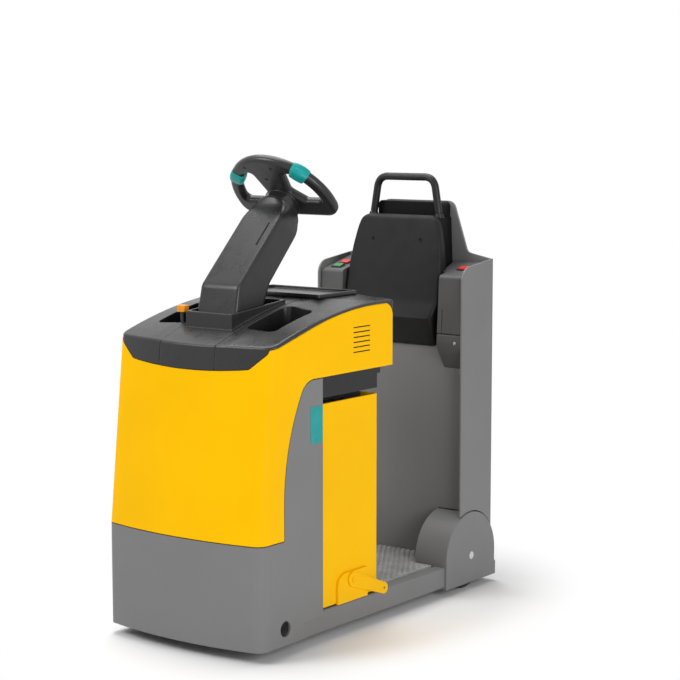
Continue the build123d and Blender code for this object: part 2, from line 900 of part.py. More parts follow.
# Rear pillars with the slanted switch panels, closing in on the backrest behind the wall
wall_back = wall_front + back_sheet
side_slope = (pad_half_mid - block_half_mid) / (panel_back - wall_front + pad_mid_set)
wedge_front = pad_half_mid - side_slope * (wall_back - wall_front + pad_mid_set) + panel_gap
wedge_back = block_half_mid + panel_gap
for side, label in sides:
    with BuildPart() as pillar:
        with BuildSketch(plan_view(wheel_radius)):
            with BuildLine():
                Polyline(
                    (side * pillar_inner, pillar_front_low),
                    (side * pillar_outer, pillar_front_low),
                    (side * pillar_outer, panel_back),
                    (side * wedge_back, panel_back),
                    (side * wedge_front, wall_back + seat_gap),
                    (side * pillar_inner, wall_back + seat_gap),
                    close=True,
                )
            make_face()
        extrude(amount=pillar_back_z - wheel_radius)
        with BuildSketch(side_view(0)) as outline:
            Polygon(
                (wall_back + seat_gap, wheel_radius),
                (wall_back + seat_gap, scoop_z),
                (wall_front, scoop_z),
                (pillar_front_low, pillar_foot_z),
                (pillar_front_top, pillar_front_z),
                (panel_back, pillar_back_z),
                (panel_back, wheel_radius),
                align=None,
            )
            fillet(outline.vertices().sort_by_distance((pillar_front_low, pillar_foot_z))[0], scoop_round)
            fillet(outline.vertices().sort_by_distance((pillar_front_top, pillar_front_z))[0], pillar_round)
        extrude(amount=side * half_width, mode=Mode.INTERSECT)
        with BuildSketch(side_view(side * half_width)):
            with Locations((rear_axle_y, wheel_radius)):
                Circle(arch_radius + panel_gap)
        extrude(amount=-side * half_width, mode=Mode.SUBTRACT)
        with BuildSketch(cross_view(pillar_front_low)):
            with Locations((side * (pillar_inner + pillar_outer) / 2, pillar_joint_z)):
                Rectangle(2 * pillar_width, pillar_joint)
            with Locations((side * (pillar_inner + pillar_slot_inset), pillar_joint_z)):
                Rectangle(pillar_joint, pillar_slot_length, align=(Align.CENTER, Align.MIN))
        extrude(amount=-(pillar_front_set - pillar_top_set + pillar_joint_depth), mode=Mode.SUBTRACT)
    export(pillar, f"pillar_{label}")

with BuildPart() as pillar_sides:
    for side, label in sides:
        with BuildSketch(side_view(side * pillar_outer)) as outline:
            Polygon(
                (pillar_front_low, wheel_radius),
                (pillar_front_top - pillar_round, pillar_back_z - plate_rise),
                (back_face, pillar_back_z + plate_rise),
                (back_face, wheel_radius),
                align=None,
            )
            fillet(
                outline.vertices().sort_by_distance((pillar_front_top, pillar_back_z))[0], plate_round
            )
        extrude(amount=side * pillar_plate)
        with BuildSketch(side_view(side * half_width)):
            with Locations((rear_axle_y, wheel_radius)):
                Circle(arch_radius + panel_gap)
        extrude(amount=-side * half_width, mode=Mode.SUBTRACT)
export(pillar_sides, "pillar_sides")

# Travel switches on the slanted pillar tops
panel_run = panel_back - pillar_front_top
panel_slope = (pillar_back_z - pillar_front_z) / panel_run
switch_rows = (
    # node, share of the way up the panel, sides that have one
    ("red_switches", 0.48, sides),
    ("green_switches", 0.22, sides[1:]),
)
for label, share, places in switch_rows:
    with BuildPart() as switches:
        for side, hand in places:
            place = (
                side * (pillar_inner + pillar_outer) / 2,
                nose + pillar_front_top + share * panel_run,
                pillar_front_z + share * panel_run * panel_slope,
            )
            with BuildSketch(Plane(origin=place, x_dir=(1, 0, 0), z_dir=(0, -panel_slope, 1))):
                RectangleRounded(switch_width, switch_length, switch_radius)
            extrude(amount=switch_height)
    export(switches, label)

# Back wall behind the driver's legs and the rear panel with its hump
with BuildPart() as back_wall:
    with BuildSketch(cross_view(wall_front)):
        with BuildLine():
            Polyline(
                (0, floor_bottom),
                (arch_inner, floor_bottom),
                (arch_inner, arch_top),
                (pillar_outer, arch_top),
                (pillar_outer, scoop_z),
                (pillar_inner, scoop_z),
                (pillar_inner, wall_top),
                (0, wall_top),
            )
            mirror(about=Plane.YZ)
        make_face()
    extrude(amount=-back_sheet)
export(back_wall, "back_wall")

with BuildPart() as rear_panel:
    with BuildSketch(cross_view(back_face)) as outline:
        with BuildLine():
            Polyline(
                (0, back_bottom),
                (arch_inner, back_bottom),
                (arch_inner, arch_top),
                (pillar_outer, arch_top),
                (pillar_outer, shoulder_z),
                (hump_half_low, hump_low),
                (hump_half_top, hump_top),
                (0, hump_top),
            )
            mirror(about=Plane.YZ)
        make_face()
        fillet(outline.vertices().group_by(Axis.Y)[-1], hump_round)
        feet = [corner for corner in outline.vertices() if abs(corner.Y - hump_low) < tolerance]
        fillet(feet, hump_foot_round)
    extrude(amount=back_sheet)
export(rear_panel, "rear_panel")

# Backrest: block and pad share slanting sides; a bolster tops the block
mid_front = wall_front - pad_mid_set
top_front = wall_front + pad_top_lean


def rest_section(z, front, front_half, back_half):
    """Plan of the backrest at one height: wide in front, narrower at the rear panel."""
    with BuildSketch(plan_view(z)) as section:
        Polygon(
            (-front_half, front),
            (front_half, front),
            (back_half, panel_back),
            (-back_half, panel_back),
            align=None,
        )
    return section.sketch


with BuildPart() as backrest:
    loft(
        [
            rest_section(wall_top + seat_gap, mid_front, pad_half_mid, block_half_mid),
            rest_section(pad_top, top_front, pad_half_top, block_half_top),
        ],
        ruled=True,
    )

with BuildPart() as backrest_block:
    add(backrest.part)
    split(bisect_by=cross_view(pad_back), keep=Keep.BOTTOM)
    with BuildSketch(cross_view(panel_back)) as outline:
        with Locations((0, pad_top)):
            Rectangle(2 * bolster_half, bolster_top - pad_top, align=(Align.CENTER, Align.MIN))
        fillet(outline.vertices().group_by(Axis.Y)[-1], bolster_round)
    extrude(amount=bolster_depth)
    front_rim = backrest_block.faces().filter_by(Plane.XZ).sort_by(Axis.Z)[-1]
    fillet(front_rim.outer_wire().edges().filter_by(GeomType.CIRCLE), edge_round)
export(backrest_block, "backrest_block")

with BuildPart() as lower_pad:
    with BuildSketch(side_view(0)):
        Polygon(
            (wall_front - pad_low_set, pad_bottom),
            (mid_front, wall_top + seat_gap),
            (wall_front - seat_gap, wall_top + seat_gap),
            (wall_front - seat_gap, pad_bottom),
            align=None,
        )
    extrude(amount=pad_half_mid, both=True)
    front = lower_pad.faces().sort_by(Axis.Y)[0]
    fillet(front.edges().group_by(Axis.Z)[1], pad_round)

with BuildPart() as backrest_pad:
    add(backrest.part)
    split(bisect_by=cross_view(pad_back - seat_gap), keep=Keep.TOP)
    front = backrest_pad.faces().sort_by(Axis.Y)[0]
    fillet(front.edges().group_by(Axis.Z)[1:], pad_round)
    add(lower_pad.part)
export(backrest_pad, "backrest_pad")

handle_plane = cross_view(wall_front + handle_set)
with BuildPart() as grab_handle:
    with BuildLine(handle_plane) as loop:
        FilletPolyline(
            (-handle_half_low, pad_top),
            (-handle_half_top, handle_top),
            (handle_half_top, handle_top),
            (handle_half_low, pad_top),
            radius=handle_fillet,
        )
    with BuildSketch(Plane(origin=loop.line @ 0, z_dir=loop.line % 0)):
        Circle(handle_radius)
    sweep()
    split(bisect_by=Plane.XY.offset(pad_top), keep=Keep.TOP)
    with BuildSketch(plan_view(pad_top)):
        for side, label in sides:
            with Locations((side * handle_half_low, wall_front + handle_set)):
                Circle(handle_foot_radius)
    extrude(amount=handle_foot_height, taper=handle_foot_taper)
export(grab_handle, "grab_handle")

# Drive unit: bridge on the side plates, turntable and gearbox, motor on top, wheel beside the gearbox
bridge_top = bridge_bottom + bridge_thickness
with BuildPart() as drive_bridge:
    with BuildSketch(plan_view(bridge_bottom)):
        with Locations((0, plate_front)):
            Rectangle(2 * sill_face, drive_y + bridge_reach - plate_front, align=(Align.CENTER, Align.MIN))
        with Locations((0, drive_y)):
            Circle(bridge_bore, mode=Mode.SUBTRACT)
    extrude(amount=bridge_thickness)
export(drive_bridge, "drive_bridge")

with BuildPart() as drive_gearbox:
    with BuildSketch(side_view(gearbox_inner)):
        with Locations((drive_y, wheel_radius)):
            Circle(gearbox_half)
        with Locations((drive_y, wheel_radius)):
            Rectangle(
                2 * gearbox_half,
                bridge_bottom - turntable_thickness - wheel_radius,
                align=(Align.CENTER, Align.MIN),
            )
    extrude(amount=gearbox_width)
    cheeks = drive_gearbox.faces().filter_by(Axis.X)
    fillet(cheeks.edges().filter_by(GeomType.CIRCLE), gearbox_round)
    with BuildSketch(plan_view(bridge_bottom - seat_gap)):
        with Locations((0, drive_y)):
            Circle(turntable_radius)
    extrude(amount=-turntable_thickness)
    with BuildSketch(plan_view(bridge_bottom - seat_gap)):
        with Locations((0, drive_y)):
            Circle(neck_radius)
    extrude(amount=bridge_thickness + 2 * seat_gap)
    with BuildSketch(side_view(gearbox_inner)):
        with Locations((drive_y, wheel_radius)):
            Circle(drive_shaft_radius)
    extrude(amount=-gearbox_inner)
export(drive_gearbox, "drive_gearbox")

with BuildPart() as drive_motor:
    with BuildSketch(plan_view(bridge_top + seat_gap)):
        with Locations((0, drive_y)):
            Circle(motor_radius)
    extrude(amount=motor_height)
    fillet(drive_motor.edges().group_by(Axis.Z)[-1], motor_round)
export(drive_motor, "drive_motor")

drive_axle = Plane(origin=(0, nose + drive_y, wheel_radius), x_dir=(1, 0, 0), z_dir=(0, -1, 0))
drive_spin = Axis(drive_axle.origin, (1, 0, 0))
with BuildPart() as drive_tyre:
    with BuildSketch(drive_axle) as section:
        with Locations((0, tyre_inner)):
            Rectangle(drive_tyre_width, tyre_depth, align=(Align.CENTER, Align.MIN))
        fillet(section.vertices().group_by(Axis.Y)[-1], tyre_round)
    revolve(axis=drive_spin)
export(drive_tyre, "drive_tyre")

with BuildPart() as drive_hub:
    with BuildSketch(drive_axle):
        Rectangle(hub_width, tyre_inner, align=(Align.CENTER, Align.MIN))
        with Locations((-hub_width / 2, 0)):
            Rectangle(
                2 * hub_dish, tyre_inner - hub_rim, align=(Align.CENTER, Align.MIN), mode=Mode.SUBTRACT
            )
        with Locations((-seat_gap, 0)):
            Rectangle(
                hub_width, drive_shaft_radius + seat_gap, align=(Align.MIN, Align.MIN), mode=Mode.SUBTRACT
            )
    revolve(axis=drive_spin)
export(drive_hub, "drive_hub")

# Tow coupling at the back: a jaw of two lips and a captive pin
jaw_tip = back_face + coupling_reach
pin_y = jaw_tip - jaw_half
with BuildPart() as tow_coupling:
    with BuildSketch(side_view(0)):
        with BuildLine():
            Polyline(
                (back_face, jaw_mid_z - jaw_height / 2),
                (jaw_tip, jaw_mid_z - jaw_gap / 2 - jaw_plate),
                (jaw_tip, jaw_mid_z - jaw_gap / 2),
                (back_face + jaw_plate, jaw_mid_z - jaw_gap / 2),
                (back_face + jaw_plate, jaw_mid_z + jaw_gap / 2),
                (jaw_tip, jaw_mid_z + jaw_gap / 2),
                (jaw_tip, jaw_mid_z + jaw_gap / 2 + jaw_plate),
                (back_face, jaw_mid_z + jaw_height / 2),
                close=True,
            )
        make_face()
    extrude(amount=jaw_half, both=True)
    with BuildSketch(plan_view(jaw_mid_z)) as outline:
        with Locations((0, back_face)):
            Rectangle(2 * jaw_half, coupling_reach, align=(Align.CENTER, Align.MIN))
        fillet(outline.vertices().group_by(Axis.Y)[-1], jaw_round)
    extrude(amount=jaw_height, both=True, mode=Mode.INTERSECT)
    with BuildSketch(cross_view(back_face)):
        with Locations((0, jaw_mid_z)):
            RectangleRounded(jaw_foot, jaw_foot, jaw_plate / 2)
    extrude(amount=-jaw_plate / 2)
    with BuildSketch(plan_view(jaw_mid_z)):
        with Locations((0, pin_y)):
            Circle(pin_radius)
    extrude(amount=jaw_height, both=True, mode=Mode.SUBTRACT)
export(tow_coupling, "tow_coupling")

with BuildPart() as coupling_pin:
    with BuildSketch(plan_view(jaw_mid_z)):
        with Locations((0, pin_y)):
            Circle(pin_radius)
    extrude(amount=jaw_height / 2 + pin_reach, both=True)
    with BuildSketch(plan_view(jaw_mid_z + jaw_height / 2 + pin_reach)):
        with Locations((0, pin_y)):
            Circle(knob_radius)
    extrude(amount=knob_height)
export(coupling_pin, "coupling_pin")
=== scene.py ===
"""Looks of the stand-on tow tractor: a finish for every solid and the small pieces round them.

Metres in the frame. Forward is -Y, the driver's left is +X, the ground is at Z = 0.
The pieces are laid out in millimetres, with Y counted back from the nose line.
"""
import json
from math import cos, pi, radians, sin

import bmesh
import bpy
import numpy as np
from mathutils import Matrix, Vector


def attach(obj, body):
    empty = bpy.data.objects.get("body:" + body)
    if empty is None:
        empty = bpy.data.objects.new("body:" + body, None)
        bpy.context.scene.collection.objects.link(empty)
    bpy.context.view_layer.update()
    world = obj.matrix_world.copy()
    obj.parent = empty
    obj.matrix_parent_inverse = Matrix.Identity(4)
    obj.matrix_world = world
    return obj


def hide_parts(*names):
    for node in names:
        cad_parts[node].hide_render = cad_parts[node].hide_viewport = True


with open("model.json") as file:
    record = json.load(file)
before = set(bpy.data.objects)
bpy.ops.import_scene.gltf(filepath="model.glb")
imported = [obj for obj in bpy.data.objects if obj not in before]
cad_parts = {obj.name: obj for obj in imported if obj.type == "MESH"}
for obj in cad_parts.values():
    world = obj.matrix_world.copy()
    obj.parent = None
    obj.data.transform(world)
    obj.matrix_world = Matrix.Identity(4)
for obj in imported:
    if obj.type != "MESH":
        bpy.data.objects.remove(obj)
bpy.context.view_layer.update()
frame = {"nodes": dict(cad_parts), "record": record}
nodes = frame["nodes"]
scene = bpy.context.scene
scene.view_settings.view_transform = "Standard"

# Camera at the photograph's viewing angle
CAMERA_PLACE = (3.5661, -4.6527, 1.5652)
CAMERA_TURN = (radians(83.14), 0, radians(36.73))
CAMERA_LENS = 98.06
CAMERA_SENSOR = 36

# Lamps and surroundings
LOOK_AT = np.array((0.0, -0.1, 0.6))
LAMPS = (
    # name, place, width, height, power
    ("key", (-2.2, -4.0, 3.9), 2.6, 2.2, 142),
    ("side", (4.4, -1.8, 1.7), 2.4, 2.4, 108),
    ("top", (-0.8, 0.42, 4.4), 3.0, 3.0, 150),
)
WHITE = (1, 1, 1, 1)
SKY_LEVEL = 0.21
FLOOR_SIZE = 14
FLOOR_COLOUR = (0.97, 0.97, 0.97)
FLOOR_ROUGHNESS = 0.9
FLOOR_FADE = (0.74, 1.15)
FLOOR_STRETCH = (1.5, 1, 1)

# Colours, as linear values
YELLOW = (0.97, 0.52, 0.0003)
STEEL_GREY = (0.186, 0.186, 0.188)
DARK_GREY = (0.019, 0.019, 0.0195)
CASING_GREY = (0.056, 0.056, 0.057)
PAD_BLACK = (0.007, 0.007, 0.0074)
BLACK = (0.006, 0.006, 0.006)
MAT_GREY = (0.28, 0.28, 0.28)
RUBBER_BLACK = (0.016, 0.016, 0.016)
TEAL = (0.006, 0.30, 0.29)
RED = (0.62, 0.03, 0.02)
GREEN = (0.02, 0.20, 0.07)
ORANGE = (0.95, 0.33, 0.006)
BRIGHT = (0.55, 0.55, 0.54)
IRON = (0.16, 0.16, 0.16)
DUST = (0.16, 0.15, 0.13)

# Reach of the noise that the finishes use, height of the dust, care taken over softened edges
NOISE_SPAN = (0.3, 0.7)
DUST_HEIGHTS = (0.02, 0.22)
DUST_MOST = 0.10
EDGE_SAMPLES = 8

# Nose line along Y and the gap under which points are merged, both in metres
NOSE = -0.665
MERGE_GAP = 2e-6

# Least corner of a plate, in millimetres, and the share of X that counts as facing sideways
LEAST_CORNER = 0.01
SIDE_SHARE = 0.9

# Places in millimetres, taken from the solids
HALF_WIDTH = 300
HOOD_WALL = 6
BACK_FACE = 1246
AXLE_Z = 115
REAR_AXLE = (1121, AXLE_Z)
WHEEL_X = 240
HUB_DISH = 13
DRIVE_Y = 165
WHEEL_SEAT = np.array((0.0, 478.0, 1282.0))
WHEEL_LEAN = radians(45)
WHEEL_RISE = 47
RIM_HALF = 15.5
RIM_MIDDLE = 167.5


def wired(tree, kind, inputs, **options):
    """A node whose inputs, by name or number, are linked to sockets or set to plain values."""
    made = tree.nodes.new(kind)
    for option, value in options.items():
        setattr(made, option, value)
    for key, value in inputs.items():
        if isinstance(value, bpy.types.NodeSocket):
            tree.links.new(value, made.inputs[key])
        else:
            made.inputs[key].default_value = value
    return made


class Finish:
    """One surface finish: a Principled shader with noise for its colour, sheen and grain."""

    def __init__(self, name, colour, roughness, metallic=0.0, specular=0.5):
        self.material = bpy.data.materials.new(name)
        self.material.use_nodes = True
        self.tree = self.material.node_tree
        self.shader = self.tree.nodes["Principled BSDF"]
        self.shader.inputs["Base Color"].default_value = (*colour, 1)
        self.shader.inputs["Roughness"].default_value = roughness
        self.shader.inputs["Metallic"].default_value = metallic
        self.shader.inputs["Specular IOR Level"].default_value = specular
        self.colour = colour
        self.roughness = roughness
        self.place = self.node("ShaderNodeTexCoord", {}).outputs["Object"]
        self.normal = None

    def node(self, kind, inputs, **options):
        """A node in this finish's own tree."""
        return wired(self.tree, kind, inputs, **options)

    def feed(self, source, name):
        """Links a socket to one of the shader's inputs."""
        self.tree.links.new(source, self.shader.inputs[name])
        return self

    def noise(self, scale, detail=3.0):
        """Cloud noise on the piece's own place; scale is in waves per metre."""
        inputs = {"Scale": scale, "Detail": detail, "Vector": self.place}
        return self.node("ShaderNodeTexNoise", inputs).outputs["Fac"]

    def cells(self, scale):
        """Distance to the nearest cell centre; scale is in cells per metre."""
        inputs = {"Scale": scale, "Vector": self.place}
        return self.node("ShaderNodeTexVoronoi", inputs).outputs["Distance"]

    def spread(self, fac, low, high, span=NOISE_SPAN):
        """A number that runs from low to high as fac runs over its span."""
        start, end = span
        inputs = {"Value": fac, "From Min": start, "From Max": end, "To Min": low, "To Max": high}
        return self.node("ShaderNodeMapRange", inputs).outputs["Result"]

    def mottle(self, fac, share):
        """Colour that drifts either way from the finish's own by a share of it."""
        ramp = self.node("ShaderNodeValToRGB", {"Fac": fac})
        for stop, place, drift in zip(ramp.color_ramp.elements, NOISE_SPAN, (1 - share, 1 + share)):
            stop.position = place
            stop.color = (*(min(c * drift, 1) for c in self.colour), 1)
        return self.lay(ramp.outputs["Color"])

    def lay(self, colour):
        """Makes this the colour that shows, and the one that later layers go over."""
        self.shown = colour
        return self.feed(colour, "Base Color")

    def soil(self):
        """Dust that thins out upwards to none, broken up by noise."""
        height = self.node("ShaderNodeSeparateXYZ", {"Vector": self.place}).outputs["Z"]
        depth = self.spread(height, DUST_MOST, 0.0, DUST_HEIGHTS)
        broken = self.spread(self.noise(22.0, detail=6.0), low=0.2, high=1.0)
        share = self.node("ShaderNodeMath", {0: depth, 1: broken}, operation="MULTIPLY")
        inputs = {"Factor": share.outputs["Value"], "A": self.shown, "B": (*DUST, 1)}
        return self.lay(self.node("ShaderNodeMix", inputs, data_type="RGBA").outputs["Result"])

    def sheen(self, fac, swing):
        """Roughness that swings about the finish's own."""
        rough = self.spread(fac, self.roughness - swing, self.roughness + swing)
        return self.feed(rough, "Roughness")

    def soften(self, radius):
        """Rounds the look of sharp edges over a radius in metres."""
        edge = self.node("ShaderNodeBevel", {"Radius": radius}, samples=EDGE_SAMPLES)
        self.normal = edge.outputs["Normal"]
        return self

    def grain(self, height, depth):
        """Bump of a given depth in metres, laid over what was there before."""
        inputs = {"Strength": 1.0, "Distance": depth, "Height": height}
        if self.normal is not None:
            inputs["Normal"] = self.normal
        self.normal = self.node("ShaderNodeBump", inputs).outputs["Normal"]
        return self.feed(self.normal, "Normal")


def powder_coat(name, colour, roughness, specular, peel=0.00006):
    """Baked powder paint: slow colour drift, a fine orange-peel skin and dust near the ground."""
    paint = Finish(name, colour, roughness, specular=specular)
    paint.mottle(paint.noise(3.0, detail=4.0), share=0.035)
    paint.soil()
    paint.sheen(paint.noise(9.0, detail=5.0), swing=0.05)
    paint.soften(radius=0.0018)
    paint.grain(paint.noise(420.0, detail=2.0), peel)
    return paint.material


def moulded_plastic(name, colour, roughness, specular, cells=900.0, depth=0.00008, edge=0.0015):
    """Injection-moulded plastic with an eroded grain."""
    plastic = Finish(name, colour, roughness, specular=specular)
    plastic.mottle(plastic.noise(6.0, detail=4.0), share=0.10)
    plastic.sheen(plastic.noise(25.0, detail=4.0), swing=0.05)
    plastic.soften(edge)
    plastic.grain(plastic.cells(cells), depth)
    return plastic.material


def gloss_plastic(name, colour, roughness):
    """Smooth coloured plastic for switches and sleeves."""
    plastic = Finish(name, colour, roughness, specular=0.3)
    plastic.mottle(plastic.noise(30.0), share=0.08)
    plastic.sheen(plastic.noise(60.0), swing=0.05)
    plastic.grain(plastic.noise(700.0), depth=0.00003)
    return plastic.material


def rubber(name, colour, roughness):
    """Vulcanised rubber: matt, a little uneven, faintly pitted."""
    skin = Finish(name, colour, roughness)
    skin.mottle(skin.noise(14.0, detail=6.0), share=0.25)
    skin.sheen(skin.noise(40.0, detail=4.0), swing=0.08)
    skin.grain(skin.noise(600.0, detail=4.0), depth=0.00015)
    return skin.material


def bare_metal(name, colour, roughness, pitting=0.00005, scale=300.0):
    """Machined or cast metal with fine pitting."""
    metal = Finish(name, colour, roughness, metallic=1.0)
    metal.mottle(metal.noise(18.0, detail=5.0), share=0.12)
    metal.sheen(metal.noise(70.0, detail=5.0), swing=0.08)
    metal.grain(metal.noise(scale, detail=4.0), pitting)
    return metal.material


FINISHES = {
    # slot: kind of finish, colour, roughness, then what else that kind takes, in its order
    "yellow_paint": (powder_coat, YELLOW, 0.45, 0.05),
    "grey_paint": (powder_coat, STEEL_GREY, 0.50, 0.30),
    "dark_plastic": (moulded_plastic, DARK_GREY, 0.29, 0.35, 1400.0, 0.00003, 0.006),
    "casing_plastic": (moulded_plastic, CASING_GREY, 0.55, 0.5, 700.0, 0.0001, 0.007),
    "teal_plastic": (gloss_plastic, TEAL, 0.32),
    "pad_skin": (moulded_plastic, PAD_BLACK, 0.55, 0.2, 600.0, 0.00012),
    "black_plastic": (moulded_plastic, BLACK, 0.55, 0.1),
    "black_paint": (powder_coat, BLACK, 0.42, 0.3),
    "mat_rubber": (rubber, MAT_GREY, 0.68),
    "tyre_rubber": (rubber, RUBBER_BLACK, 0.75),
    "hub_iron": (bare_metal, IRON, 0.50, 0.00015, 180.0),
    "bright_steel": (bare_metal, BRIGHT, 0.28),
    "coupling_paint": (powder_coat, BLACK, 0.5, 0.5, 0.00015),
    "motor_paint": (powder_coat, DARK_GREY, 0.45, 0.4),
    "red_plastic": (gloss_plastic, RED, 0.32),
    "green_plastic": (gloss_plastic, GREEN, 0.32),
    "orange_plastic": (gloss_plastic, ORANGE, 0.32),
}
finishes = {name: make(name, *values) for name, (make, *values) in FINISHES.items()}
for part in frame["record"]["subparts"]:
    mesh = nodes[part["node"]].data
    mesh.materials.clear()
    mesh.materials.append(finishes[part["material_slot"]])


def at(points):
    """Millimetres counted back from the nose line, as metres in the frame."""
    return np.asarray(points, float) / 1000 + (0, NOSE, 0)


def piece(name, grids, slot, body="chassis", loop=(False, True), crease=40):
    """A mesh from grids of points in metres: copies by rows by columns by 3.

    Each cell of a grid is one quad. A grid closes on itself along the axes that `loop` names, its
    poles and seams are merged, its faces are turned outwards and edges sharper than `crease`
    degrees stay sharp.
    """
    grids = np.asarray(grids, float)
    rows, columns = grids.shape[-3:-1]
    index = np.arange(grids.size // 3).reshape(-1, rows, columns)
    if loop[0]:
        index = np.concatenate((index, index[:, :1]), 1)
    if loop[1]:
        index = np.concatenate((index, index[:, :, :1]), 2)
    quads = (index[:, :-1, :-1], index[:, :-1, 1:], index[:, 1:, 1:], index[:, 1:, :-1])
    mesh = bpy.data.meshes.new(name)
    mesh.from_pydata(grids.reshape(-1, 3).tolist(), [], np.stack(quads, -1).reshape(-1, 4).tolist())
    work = bmesh.new()
    work.from_mesh(mesh)
    bmesh.ops.remove_doubles(work, verts=work.verts, dist=MERGE_GAP)
    bmesh.ops.recalc_face_normals(work, faces=work.faces)
    work.to_mesh(mesh)
    work.free()
    mesh.shade_smooth()
    mesh.set_sharp_from_angle(angle=radians(crease))
    mesh.materials.append(finishes[slot])
    made = bpy.data.objects.new(name, mesh)
    scene.collection.objects.link(made)
    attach(made, body)
    return made


def around(count, start=0.0):
    """Angles of a full turn at equal steps."""
    return np.linspace(start, start + 2 * pi, count, endpoint=False)


def capped(rows):
    """Rows of points, closed to their middles at both ends."""
    middles = np.broadcast_to(rows.mean(1, keepdims=True), rows.shape)
    return np.concatenate((middles[:1], rows, middles[-1:]))


def turned(profile, sides=20):
    """Surface of turning: each (radius, height) of the profile goes round the local Z axis."""
    radius, height = np.array(profile, float).T[..., None]
    turn = around(sides)
    return np.stack(np.broadcast_arrays(radius * np.cos(turn), radius * np.sin(turn), height), -1)


def plate(width, height, corner, layers, points=5):
    """Rounded rectangle in the local XY plane: one ring per (inset, level), closed at both ends.

    A ring's points are the four corner arcs. An inset takes first from their radius and then
    draws their centres in.
    """
    inset, level = np.array(layers, float).T[..., None]
    turn = (np.linspace(0, pi / 2, points) + np.arange(4)[:, None] * pi / 2).ravel()
    radius = np.maximum(corner - inset, LEAST_CORNER)
    draw_in = np.maximum(inset - corner, 0)
    x = np.repeat((1, -1, -1, 1), points) * (width / 2 - corner - draw_in) + radius * np.cos(turn)
    y = np.repeat((1, 1, -1, -1), points) * (height / 2 - corner - draw_in) + radius * np.sin(turn)
    return capped(np.stack(np.broadcast_arrays(x, y, level), -1))


def placed(shape, places, facing):
    """Copies of a local shape, one at each place, with its Z axis along `facing`.

    The shape's X axis lies as near as it can to the frame's X axis, or to its Z axis where it
    faces sideways.
    """
    places = np.atleast_2d(np.asarray(places, float))
    ahead = np.broadcast_to(np.asarray(facing, float), places.shape)
    ahead = ahead / np.linalg.norm(ahead, axis=-1, keepdims=True)
    near = np.where(np.abs(ahead[:, :1]) > SIDE_SHARE, (0.0, 0.0, 1.0), (1.0, 0.0, 0.0))
    side = near - ahead * (near * ahead).sum(-1, keepdims=True)
    side = side / np.linalg.norm(side, axis=-1, keepdims=True)
    axes = np.stack((side, np.cross(ahead, side), ahead), 1)
    return at(places[:, None, None] + np.einsum("nma,kab->knmb", shape, axes))


def both_sides(x, *rest):
    """The same place on the left and on the right."""
    return np.array(((x, *rest), (-x, *rest)), float)


SIDEWAYS = np.array(((1.0, 0, 0), (-1.0, 0, 0)))


def spaced(keys, line, count):
    """Equal steps along a bent line, and the keys' values there, straight between the keys."""
    steps = np.linalg.norm(np.diff(line, axis=0), axis=1)
    run = np.concatenate(((0,), np.cumsum(steps)))
    along = np.linspace(0, run[-1], count)
    return along, np.stack([np.interp(along, run, column) for column in keys.T], -1)


def smoothed(values, span):
    """Running mean of rows over 2 * span + 1 of them, with the ends held."""
    held = (np.repeat(values[:1], span, 0), values, np.repeat(values[-1:], span, 0))
    total = np.cumsum(np.concatenate((np.zeros_like(values[:1]), *held)), 0)
    width = 2 * span + 1
    return (total[width:] - total[:-width]) / width


# Cushion: the foam pad of the backrest
PAD_HEIGHTS = (808, 904, 957, 1010, 1080, 1140, 1195, 1241)
PAD_FRONT = (1096, 1053, 1071, 1080, 1091.5, 1101.5, 1110.5, 1118)
PAD_HALF = (166, 173, 189, 190, 186, 178, 166, 149)
PAD_SPLIT = 1010.2
PAD_BACK = (1107.5, 1139.6)
PAD_TAPER = (0.278, 0.1)
PAD_CROWN = 5
PAD_EDGE = 13
PAD_CORNER = 26
PAD_ROWS = (7, 5, 5, 14, 9)
PAD_COLUMNS = 17
PAD_EDGE_POINTS = 6
PAD_LEAN = 0.17
CUSHION_SCREWS = ((-91, 1159), (101.5, 1160))
CUSHION_SCREW = ((0, -3), (6.6, -3), (6.6, 0.6), (5.8, 0.9), (4.8, 0.2), (0, 0.2))


def drawn_in(radius, past):
    """How far a quarter circle draws in what lies a given way past the start of its curve."""
    return radius - np.sqrt(np.maximum(radius**2 - np.maximum(past, 0) ** 2, 0))


def pad_front(x, z):
    """Front of the cushion: its line up the back, less a parabola across its width."""
    half = np.interp(z, PAD_HEIGHTS, PAD_HALF)
    return np.interp(z, PAD_HEIGHTS, PAD_FRONT) - PAD_CROWN * (1 - np.clip(x / half, -1, 1) ** 2)


